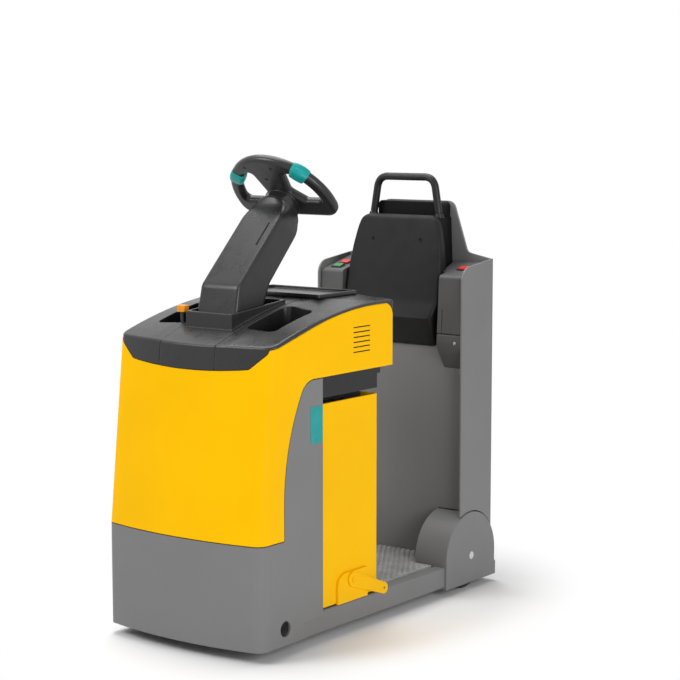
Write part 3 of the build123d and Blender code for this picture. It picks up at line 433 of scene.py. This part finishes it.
def cushion():
    """Sections up the back: a crowned front, two quarter rounds, slanted sides and a flat back.

    Quarter circles draw the sections in at the foot and the head, and round the two upper corners.
    """
    low, high = PAD_HEIGHTS[0], PAD_HEIGHTS[-1]
    quarter = np.linspace(0, pi / 2, PAD_EDGE_POINTS)
    lower = np.concatenate((
        low + PAD_EDGE * (1 - np.cos(quarter)),
        np.linspace(low + PAD_EDGE, PAD_HEIGHTS[1], PAD_ROWS[0])[1:],
        np.linspace(*PAD_HEIGHTS[1:3], PAD_ROWS[1])[1:],
        np.linspace(PAD_HEIGHTS[2], PAD_SPLIT, PAD_ROWS[2])[1:],
    ))
    upper = np.concatenate((
        np.linspace(PAD_SPLIT, high - PAD_CORNER, PAD_ROWS[3]),
        high - PAD_CORNER + PAD_CORNER * np.sin(np.linspace(0, pi / 2, PAD_ROWS[4]))[1:],
    ))
    heights = np.concatenate((lower, upper))[:, None]
    above = np.arange(len(heights))[:, None] >= len(lower)
    foot = drawn_in(PAD_EDGE, low + PAD_EDGE - heights)
    head = drawn_in(PAD_EDGE, heights - high + PAD_EDGE)
    corner = drawn_in(PAD_CORNER, heights - high + PAD_CORNER)
    back = np.where(above, PAD_BACK[1], PAD_BACK[0])
    taper = np.where(above, np.interp(heights, (PAD_SPLIT, high), PAD_TAPER), 0)
    half = np.interp(heights, PAD_HEIGHTS, PAD_HALF) - corner - foot
    front = np.interp(heights, PAD_HEIGHTS, PAD_FRONT) + foot + head
    edge = np.minimum(PAD_EDGE, back - front - 1)
    across = np.linspace(-1, 1, PAD_COLUMNS)[1:-1] * (half - edge)
    crown = (PAD_CROWN - np.minimum(foot + head, PAD_CROWN)) * (1 - (across / half) ** 2)
    round_x = half - edge + edge * np.sin(quarter)
    round_y = front + edge - edge * np.cos(quarter)
    rear = half - taper * (back - front - edge)
    x = np.concatenate((-round_x[:, ::-1], across, round_x, rear, -rear), 1)
    y = np.concatenate((round_y[:, ::-1], front - crown, round_y, back, back), 1)
    rows = np.stack(np.broadcast_arrays(x, y, heights), -1)
    pad = piece("back_cushion", at(capped(rows)), "pad_skin")
    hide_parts("backrest_pad")
    x, z = np.array(CUSHION_SCREWS, float).T
    places = np.stack((x, pad_front(x, z), z), -1)
    screws = placed(turned(CUSHION_SCREW), places, (0, -1, PAD_LEAN))
    piece("cushion_screws", screws, "black_plastic")


# Studs of the floor mat
STUD_PITCH = (20, 16)
STUD_PROFILE = ((7.2, -0.3), (6.4, 2.6), (5.2, 3.4), (0, 3.6))
STUD_SIDES = 10
MAT_HALF = 236
MAT_RUN = (616, 1098)
MAT_TOP = 102
ARCH_NOTCH = (164, 958)


def mat_studs():
    """Low domes in staggered rows over the mat, left out where the wheel arches stand."""
    y = np.arange(MAT_RUN[0], MAT_RUN[1], STUD_PITCH[1])
    x = np.arange(-MAT_HALF, MAT_HALF, STUD_PITCH[0])
    row, column = np.meshgrid(np.arange(len(y)), x, indexing="ij")
    column = column + (row % 2) * STUD_PITCH[0] / 2
    places = np.stack((column, y[row], np.full(row.shape, MAT_TOP)), -1).reshape(-1, 3)
    free = (np.abs(places[:, 0]) < ARCH_NOTCH[0]) | (places[:, 1] < ARCH_NOTCH[1])
    stud = turned(STUD_PROFILE, STUD_SIDES)
    piece("mat_studs", placed(stud, places[free], (0, 0, 1)), "mat_rubber")


# Steering column, from the floor of the collar to the wheel's seat
COLUMN_KEYS = np.array((
    # front y, front z, back y, back z, width, power of the section's oval
    (166, 945, 284, 945, 156, 14),
    (192, 1068, 344, 1068, 150, 14),
    (385, 1262, 469, 1200, 150, 12),
    (422, 1299, 497, 1224, 140, 4),
    (432.7, 1327.3, 523.3, 1236.7, 128, 2.1),
), float)
COLUMN_GRID = (110, 96)
COLUMN_BLEND = 2
COLUMN_CREASE = 70
# Dark strip of painted shade in the column's slot: its span below the top, place across, half
# width, sink and rise
SLOT_SPAN = (84, 162)
SLOT_X = 46
SLOT_HALF = 2.8
SLOT_SINK = 0.03
SLOT_RISE = 0.004


def column_cowl():
    """Moulded cowl of the column: ovals of changing power carried along its bent middle line.

    The sizes run straight between the key sections, and a running mean rounds off the bends. The
    narrow slot in its front is a dark strip, painted shade of its inside, that follows the same
    ovals at one place across.
    """
    middle = (COLUMN_KEYS[:, :2] + COLUMN_KEYS[:, 2:4]) / 2
    along, rows = spaced(COLUMN_KEYS, middle, COLUMN_GRID[0])
    rows = smoothed(rows, COLUMN_BLEND)
    front, through = rows[:, None, :2], rows[:, None, 2:4] - rows[:, None, :2]
    width, power = rows[:, 4:].T[..., None]
    turn = around(COLUMN_GRID[1])
    c, s = np.cos(turn), np.sin(turn)
    x = width / 2 * np.sign(c) * np.abs(c) ** (2 / power)
    share = (1 + np.sign(s) * np.abs(s) ** (2 / power))[..., None] / 2
    skin = capped(np.concatenate((x[..., None], front + through * share), -1))
    made = piece("column_cowl", at(skin), "dark_plastic", crease=COLUMN_CREASE)
    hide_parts("steering_column")
    # Painted shade of the slot: a dark strip from just proud of the cowl's skin to a little inside
    # it
    below = along[-1] - along
    line = (below < SLOT_SPAN[1]) & (below > SLOT_SPAN[0])
    x = SLOT_X + SLOT_HALF * np.array((-1, -1, 1, 1))
    oval = (1 - np.abs(2 * x / width[line]) ** power[line]) ** (1 / power[line])
    share = ((1 - oval) / 2 + SLOT_SINK * np.array((1, 0, 0, 1)) - SLOT_RISE)[..., None]
    profile = front[line] + through[line] * share
    strip = capped(np.concatenate((np.broadcast_to(x[:, None], share.shape), profile), -1))
    piece("column_slot_shade", at(strip), "black_plastic")


# Steering wheel: its axes, sleeves, screws and cap
ACROSS = np.array((1.0, 0.0, 0.0))
RISING = np.array((0.0, -sin(WHEEL_LEAN), cos(WHEEL_LEAN)))
OUTWARD = np.array((0.0, cos(WHEEL_LEAN), sin(WHEEL_LEAN)))
HUB = WHEEL_SEAT + WHEEL_RISE * OUTWARD
HUB_FACE = HUB + RIM_HALF * OUTWARD
SLEEVE_ANGLES = ((36, 54), (134, 150))
SLEEVE_MIDDLE = RIM_MIDDLE - 3
SLEEVE_HALF = (24.5, 20.5)
SLEEVE_BORE = (19.7, 15.7)
SLEEVE_ROWS = (33, 9)
SLEEVE_SIDES = 48
SLEEVE_SWELL = 0.15
SLEEVE_CREASE = 60
GROOVE_DEPTH = 0.07
GROOVE_WIDTH = 0.3
GROOVE_FADE = (4, 2.4)
WHEEL_SCREWS = ((-68, 151), (33, 149), (-10, 102))
WHEEL_SCREW = ((0, -3), (4.8, -3), (4.8, 0.5), (3.4, 0.7), (2.6, -1.2), (0, -1.2))
WHEEL_CAP = ((0, -2), (43, -2), (43, 2), (39, 6), (20, 8), (18, 6.5), (0, 6.5))
HORN_BUTTON = ((0, 6), (16.5, 6), (16.5, 9.5), (14, 11), (0, 12))


def squircle(half, turn):
    """Rounded oblong: the fourth-power oval with the given half sizes."""
    c, s = np.cos(turn), np.sin(turn)
    reach = (c**4 + s**4) ** -0.25
    return half[0] * reach * c, half[1] * reach * s


def sleeves():
    """Barrel-shaped sleeves: an oblong section carried along the rim's arc, back through its bore.

    The outer skin swells with the root of a sine along the arc and dips in a bell-shaped groove
    on the outside.
    """
    turn = around(SLEEVE_SIDES, -pi)
    out, back = SLEEVE_ROWS
    share = np.concatenate((np.linspace(0, 1, out), np.linspace(1, 0, back)))[:, None]
    outer = np.arange(out + back)[:, None] < out
    bulge = np.sqrt(np.maximum(np.sin(pi * share), 0))
    fade = np.clip(GROOVE_FADE[0] * bulge - GROOVE_FADE[1], 0, 1)
    groove = GROOVE_DEPTH * np.exp(-((turn / GROOVE_WIDTH) ** 2)) * fade
    swell = 1 - SLEEVE_SWELL + SLEEVE_SWELL * bulge - groove
    wide, thick = squircle(SLEEVE_HALF, turn)
    bore_wide, bore_thick = squircle(SLEEVE_BORE, turn)
    radial = np.where(outer, wide * swell + SLEEVE_MIDDLE, bore_wide + RIM_MIDDLE)[..., None]
    axial = np.where(outer, thick * swell, bore_thick)[..., None]
    low, high = np.radians(SLEEVE_ANGLES).T[:, :, None, None, None]
    angle = low + (high - low) * share[..., None]
    skins = HUB + radial * (np.cos(angle) * ACROSS + np.sin(angle) * RISING) + axial * OUTWARD
    made = piece("wheel_sleeves", at(skins), "teal_plastic", "helm", (True, True), SLEEVE_CREASE)
    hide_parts("steering_grips")


def wheel_fittings():
    """Screws in the face of the steering wheel, cap and horn button on the driver's side."""
    a, b = np.array(WHEEL_SCREWS, float).T[..., None]
    places = HUB - RIM_HALF * OUTWARD + a * ACROSS + b * RISING
    screws = placed(turned(WHEEL_SCREW, sides=16), places, -OUTWARD)
    piece("wheel_screws", screws, "black_plastic", "helm")
    cap = placed(turned(WHEEL_CAP, sides=40), HUB_FACE, OUTWARD)
    piece("wheel_cap", cap, "dark_plastic", "helm")
    button = placed(turned(HORN_BUTTON, sides=32), HUB_FACE, OUTWARD)
    piece("horn_button", button, "black_plastic", "helm")


# Cover of the grab handle
HANDLE_KEYS = np.array(((-134, 1238), (-112, 1366.5), (112, 1366.5), (134, 1238)), float)
HANDLE_GRID = (240, 20)
HANDLE_Y = 1165
HANDLE_RADIUS = 12.6
HANDLE_BLEND = 18


def handle_cover():
    """Soft cover on the grab handle: a circle carried along its bent line.

    A running mean rounds the corners of the line.
    """
    line = smoothed(spaced(HANDLE_KEYS, HANDLE_KEYS, HANDLE_GRID[0])[1], HANDLE_BLEND)
    ahead = np.gradient(line, axis=0)
    ahead = ahead / np.linalg.norm(ahead, axis=1, keepdims=True)
    turn = around(HANDLE_GRID[1])
    across = HANDLE_RADIUS * np.cos(turn)
    x = line[:, :1] - ahead[:, 1:] * across
    z = line[:, 1:] + ahead[:, :1] * across
    y = HANDLE_Y + HANDLE_RADIUS * np.sin(turn)
    skin = np.stack(np.broadcast_arrays(x, y, z), -1)
    piece("handle_cover", at(capped(skin)), "black_paint")


# Travel switches on the slanted pillar tops
SWITCH_SIZE = (34, 26)
SWITCH_X = 243.5
PANEL_FRONT = (1072, 1048)
PANEL_RUN = 166
PANEL_SLOPE = 38 / 166
SWITCH_ROWS = (
    # piece, node, share of the way up the panel, sides, slot
    ("red_rockers", "red_switches", 0.48, (1, -1), "red_plastic"),
    ("green_rocker", "green_switches", 0.22, (-1,), "green_plastic"),
)
ROCKER_CORNER = 3
ROCKER_LAYERS = ((0, -0.5), (0, 6), (0.8, 7), (4, 7), (8, 7), (12, 7))
ROCKER_TOP = 5.5
ROCKER_TILT = 1.0
ROCKER_DIP = 1.6
BEZEL_MARGIN = 9
BEZEL_CORNER = 5
BEZEL_LAYERS = ((0, -0.2), (0, 1.6), (1, 2.4), (4.2, 2.4), (4.4, 0.4))


def rocker():
    """Rocker key: a rounded block whose top dips by a parabola along it and tilts to one end."""
    block = plate(*SWITCH_SIZE, ROCKER_CORNER, ROCKER_LAYERS)
    along = block[..., 1] / (SWITCH_SIZE[1] / 2)
    shift = ROCKER_TILT * along - ROCKER_DIP * (1 - along**2)
    block[..., 2] += np.where(block[..., 2] > ROCKER_TOP, shift, 0)
    return block


def switches():
    """Rocker keys with a low frame round each."""
    tilt = (0, -PANEL_SLOPE, 1)
    seats = []
    for name, node, share, hands, slot in SWITCH_ROWS:
        run = share * PANEL_RUN
        y, z = PANEL_FRONT[0] + run, PANEL_FRONT[1] + run * PANEL_SLOPE
        places = [(hand * SWITCH_X, y, z) for hand in hands]
        made = piece(name, placed(rocker(), places, tilt), slot)
        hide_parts(node)
        seats += places
    width, height = (size + BEZEL_MARGIN for size in SWITCH_SIZE)
    bezel = plate(width, height, BEZEL_CORNER, BEZEL_LAYERS)[1:-1]
    piece("switch_frames", placed(bezel, seats, tilt), "black_plastic")


# Bolts and screws
HEX = 6
ROUND = 18
FINE = 32
HEAD_SINK = 0.5
HEAD_SIDE = 0.7
HEAD_TOP = 0.86
TURNTABLE_TURNS = np.radians((62, 90, 118, 152, 180, 208, 242, 270, 298))
TURNTABLE_RADIUS = 80
TURNTABLE_UNDER = 281
TURNTABLE_BOLTS = np.stack((
    TURNTABLE_RADIUS * np.cos(TURNTABLE_TURNS),
    TURNTABLE_RADIUS * np.sin(TURNTABLE_TURNS) + DRIVE_Y,
    np.full(TURNTABLE_TURNS.shape, TURNTABLE_UNDER),
), -1)
COUPLING_PLATE = 10
COUPLING_BOLTS = [(x, BACK_FACE + COUPLING_PLATE, z) for x in (-60, 60) for z in (230, 350)]
PANEL_SCREWS = [(x, BACK_FACE, z) for x in (-270, 270) for z in (320, 560, 800, 1030)]
PILLAR_SCREWS = both_sides(268, 1059.1, 829)
LATCH_PIVOTS = both_sides(298, 462, 166)
AXLE_ENDS = both_sides(HALF_WIDTH, *REAR_AXLE)
FASTENERS = (
    # piece, slot, body, radius, height, sides, facing, places
    ("latch_pivots", "yellow_paint", "chassis", 9, 3, ROUND, SIDEWAYS, LATCH_PIVOTS),
    ("axle_caps", "bright_steel", "chassis", 13, 1.5, FINE, SIDEWAYS, AXLE_ENDS),
    ("pillar_screws", "bright_steel", "chassis", 5, 1.5, ROUND, (0, -1, 0), PILLAR_SCREWS),
    ("panel_screws", "black_plastic", "chassis", 6, 2.2, ROUND, (0, 1, 0), PANEL_SCREWS),
    ("coupling_bolts", "bright_steel", "chassis", 10, 7, HEX, (0, 1, 0), COUPLING_BOLTS),
    ("turntable_bolts", "bright_steel", "drive_unit", 5, 4, HEX, (0, 0, -1), TURNTABLE_BOLTS),
)
HUB_BOLT = ((0, -0.5), (6, -0.5), (6, 4), (5, 5), (0, 5))
HUB_BOLT_COUNT = 5
HUB_BOLT_RING = 50
HUBS = (
    # piece, body, face of the dish, side that it faces, place of the axle
    ("hub_bolts_left", "rear_wheel_left", WHEEL_X - HUB_DISH, -1, REAR_AXLE),
    ("hub_bolts_right", "rear_wheel_right", HUB_DISH - WHEEL_X, 1, REAR_AXLE),
    ("drive_hub_bolts", "drive_wheel", -HUB_DISH, -1, (DRIVE_Y, AXLE_Z)),
)


def bolt_head(radius, height):
    """Profile of a head with a chamfered rim, sunk a little into its seat."""
    rim = ((radius, -HEAD_SINK), (radius, HEAD_SIDE * height), (HEAD_TOP * radius, height))
    return ((0, -HEAD_SINK), *rim, (0, height))


def fasteners():
    """Heads turned with six sides for hexagons or many for round ones."""
    for name, slot, body, radius, height, sides, facing, places in FASTENERS:
        head = turned(bolt_head(radius, height), sides)
        piece(name, placed(head, places, facing), slot, body)
    turn = around(HUB_BOLT_COUNT)
    bolt = turned(HUB_BOLT, HEX)
    for name, body, x, side, (y, z) in HUBS:
        ring = (y + HUB_BOLT_RING * np.cos(turn), z + HUB_BOLT_RING * np.sin(turn))
        places = np.stack((np.full(turn.shape, x), *ring), -1)
        piece(name, placed(bolt, places, (side, 0, 0)), "bright_steel", body)


# Flat pieces: width, height, corner and layers of each
BLANK_PLACE = (HALF_WIDTH, 274.5, 669)
BLANK_PLATE = (110, 59, 8, ((0, 0), (0, 0.6), (0.4, 1.0)))
LOUVRES = (500, 901)
# Painted shade of the louvre openings: a dark sheet behind each louvre and a dark strip sunk in
# each slot, with their insets from the side
LOUVRE_SHADE_SHEET = (112, 108, 4, ((0, 0), (0, 2)))
LOUVRE_SHADE_STRIP = (3.5, 84.9, 1.75, ((0, -3), (0, 0)))
LOUVRE_ROWS = (-37.5, -22.5, -7.5, 7.5, 22.5, 37.5)
SHADE_STRIP_INSET = 1
SHADE_SHEET_INSET = HOOD_WALL + 3
CELL_ROWS = ((-201, -67, 67, 201), (360, 451, 542))
CELL_LID = (128, 86, 6, ((0, 0), (0, 11), (3, 14)))
CELL_CAP = ((0, 13), (15, 13), (15, 20), (12, 22), (0, 22))
BATTERY_TOP = 690
LUG_PLACE = (278, 590, 795)
BOX_LUG = (24, 20, 3, ((0, 0), (0, 20), (2, 22)))


def plates():
    """Blank plate on the side, painted shade in the louvres, battery lids, caps, control box lug.
    """
    piece("blank_plate", placed(plate(*BLANK_PLATE), BLANK_PLACE, (1, 0, 0)), "teal_plastic")
    # Painted shade: dark sheets behind the louvres and dark strips in their slots stand in for the
    # shadowed openings
    behind = both_sides(HALF_WIDTH - SHADE_SHEET_INSET, *LOUVRES)
    piece("louvre_shade_sheets", placed(plate(*LOUVRE_SHADE_SHEET), behind, SIDEWAYS), "black_plastic")
    for hand, side in ((1, "left"), (-1, "right")):
        x, (y, z) = hand * (HALF_WIDTH - SHADE_STRIP_INSET), LOUVRES
        shade_strips = placed(plate(*LOUVRE_SHADE_STRIP), [(x, y, z + row) for row in LOUVRE_ROWS], (hand, 0, 0))
        piece(f"louvre_shade_strips_{side}", shade_strips, "black_plastic")
    x, y = np.meshgrid(*CELL_ROWS)
    cells = np.stack((x.ravel(), y.ravel(), np.full(x.size, BATTERY_TOP)), -1)
    piece("cell_lids", placed(plate(*CELL_LID), cells, (0, 0, 1)), "black_plastic")
    piece("cell_caps", placed(turned(CELL_CAP), cells, (0, 0, 1)), "motor_paint")
    piece("box_lug", placed(plate(*BOX_LUG), LUG_PLACE, (0, 1, 0)), "black_paint")


# Cooling fins of the drive motor
FIN_COUNT = 36
FIN_POINTS = 8
FIN_HEIGHTS = np.array((335.0, 345.0, 478.0, 490.0))
FIN_RADII = np.array((75.2, 81.0, 81.0, 75.2))
FIN_SINK = 2
FIN_FLAT = 2
FIN_TROUGH = 0.3
FIN_CORE = 70


def motor_fins():
    """Upright fins round the motor: a radius that swings with a flattened sine of the angle."""
    turn = around(FIN_COUNT * FIN_POINTS)
    wave = np.clip(np.sin(turn * FIN_COUNT) * FIN_FLAT, -1, 1) / 2 + 0.5
    root = FIN_RADII[0] - FIN_SINK
    radius = root + (FIN_RADII[:, None] - root) * (FIN_TROUGH + (1 - FIN_TROUGH) * wave)
    radius = np.concatenate((radius, np.full((2, len(turn)), FIN_CORE)))
    height = np.concatenate((FIN_HEIGHTS, FIN_HEIGHTS[[-1, 0]]))[:, None]
    x, y = radius * np.cos(turn), radius * np.sin(turn) + DRIVE_Y
    skin = np.stack(np.broadcast_arrays(x, y, height), -1)
    piece("motor_fins", at(skin), "motor_paint", "drive_unit", (True, True))


cushion()
mat_studs()
column_cowl()
sleeves()
wheel_fittings()
handle_cover()
switches()
fasteners()
plates()
motor_fins()


def pale_floor():
    """Pale floor that fades to white away from the part and is clear from below."""
    half = FLOOR_SIZE / 2
    corners = [(-half, -half, 0), (half, -half, 0), (half, half, 0), (-half, half, 0)]
    mesh = bpy.data.meshes.new("floor")
    mesh.from_pydata(corners, [], [(0, 1, 2, 3)])
    floor = bpy.data.objects.new("floor", mesh)
    scene.collection.objects.link(floor)
    ground = bpy.data.materials.new("pale_floor")
    ground.use_nodes = True
    mesh.materials.append(ground)
    tree = ground.node_tree
    paint = tree.nodes["Principled BSDF"]
    paint.inputs["Base Color"].default_value = (*FLOOR_COLOUR, 1)
    paint.inputs["Roughness"].default_value = FLOOR_ROUGHNESS
    white = wired(tree, "ShaderNodeEmission", {}).outputs["Emission"]
    place = wired(tree, "ShaderNodeTexCoord", {}).outputs["Object"]
    inputs = {0: place, 1: FLOOR_STRETCH}
    oblong = wired(tree, "ShaderNodeVectorMath", inputs, operation="MULTIPLY").outputs["Vector"]
    away = wired(tree, "ShaderNodeVectorMath", {0: oblong}, operation="LENGTH").outputs["Value"]
    inputs = {"Value": away, "From Min": FLOOR_FADE[0], "From Max": FLOOR_FADE[1]}
    fade = wired(tree, "ShaderNodeMapRange", inputs, interpolation_type="SMOOTHSTEP")
    inputs = {"Fac": fade.outputs["Result"], 1: paint.outputs["BSDF"], 2: white}
    above = wired(tree, "ShaderNodeMixShader", inputs).outputs["Shader"]
    below = wired(tree, "ShaderNodeNewGeometry", {}).outputs["Backfacing"]
    clear = wired(tree, "ShaderNodeBsdfTransparent", {}).outputs["BSDF"]
    sided = wired(tree, "ShaderNodeMixShader", {"Fac": below, 1: above, 2: clear})
    tree.links.new(sided.outputs["Shader"], tree.nodes["Material Output"].inputs["Surface"])


def surroundings():
    """Even light from all round, which the camera, reflections and clear things see as white."""
    world = bpy.data.worlds.new("surroundings")
    scene.world = world
    world.use_nodes = True
    tree = world.node_tree
    sky = tree.nodes["Background"]
    sky.inputs["Color"].default_value = WHITE
    sky.inputs["Strength"].default_value = SKY_LEVEL
    backdrop = wired(tree, "ShaderNodeBackground", {"Color": WHITE}).outputs["Background"]
    ray = wired(tree, "ShaderNodeLightPath", {}).outputs
    inputs = {0: ray["Is Camera Ray"], 1: ray["Is Glossy Ray"]}
    seen = wired(tree, "ShaderNodeMath", inputs, operation="MAXIMUM").outputs["Value"]
    inputs = {0: seen, 1: ray["Is Transmission Ray"]}
    seen = wired(tree, "ShaderNodeMath", inputs, operation="MAXIMUM").outputs["Value"]
    inputs = {"Fac": seen, 1: sky.outputs["Background"], 2: backdrop}
    mix = wired(tree, "ShaderNodeMixShader", inputs)
    tree.links.new(mix.outputs["Shader"], tree.nodes["World Output"].inputs["Surface"])


def lamps():
    """Soft rectangular lamps, turned to the middle of the part."""
    for name, place, width, height, power in LAMPS:
        light = bpy.data.lights.new(name, "AREA")
        light.shape = "RECTANGLE"
        light.size = width
        light.size_y = height
        light.energy = power
        lamp = bpy.data.objects.new(name, light)
        scene.collection.objects.link(lamp)
        lamp.location = place
        lamp.rotation_euler = Vector(LOOK_AT - place).to_track_quat("-Z", "Y").to_euler()


def camera():
    """Camera with the photograph's place, turn and lens."""
    lens = bpy.data.cameras.new("photograph")
    lens.lens = CAMERA_LENS
    lens.sensor_width = CAMERA_SENSOR
    made = bpy.data.objects.new("photograph", lens)
    made.location = CAMERA_PLACE
    made.rotation_euler = CAMERA_TURN
    scene.collection.objects.link(made)
    scene.camera = made


pale_floor()
surroundings()
lamps()
camera()
